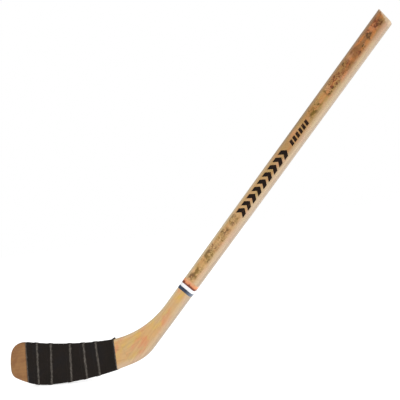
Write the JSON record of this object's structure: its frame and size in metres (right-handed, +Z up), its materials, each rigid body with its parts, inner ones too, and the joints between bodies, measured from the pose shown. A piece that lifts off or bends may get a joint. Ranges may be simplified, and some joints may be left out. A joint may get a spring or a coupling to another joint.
{
  "type": "ice_hockey_stick",
  "caption": "Short wooden ice hockey stick: laminated shaft, heel block, straight blade wrapped in black cloth tape, painted stripes and plain printed marks",
  "frame": {"origin": "on the ice below the middle of the stick's length, as it is held in play", "axes": "+X from the toe of the blade towards the butt end, along the ice; +Y through the thickness, from the printed face to the plain face; +Z up from the ice"},
  "size_m": [0.7278, 0.0174, 0.5113],
  "materials": {
    "core_wood": "pale softwood core, lightly varnished",
    "shaft_wood": "aged tan hardwood ply, varnished, handled and smudged",
    "heel_wood": "warm orange-tan hardwood, varnished",
    "blade_wood": "brown-tan hardwood, worn bare at the toe",
    "friction_tape": "black cotton cloth tape, matt, with light frayed edges",
    "blue_paint": "thin dark blue painted band",
    "white_paint": "thin white painted band",
    "red_paint": "thin orange-red painted band, darker at its lower edge",
    "dark_ink": "dark brown printed ink"
  },
  "bodies": {
    "root": {"shaft_core": "core_wood", "shaft_front_ply": "shaft_wood", "shaft_back_ply": "shaft_wood", "heel_block_front": "heel_wood", "heel_block_back": "heel_wood", "blade": "blade_wood", "blade_tape": "friction_tape", "stripe_blue": "blue_paint", "stripe_white": "white_paint", "stripe_red": "red_paint", "chevron_marks": "dark_ink", "bar_marks": "dark_ink"}
  },
  "joints": []
}
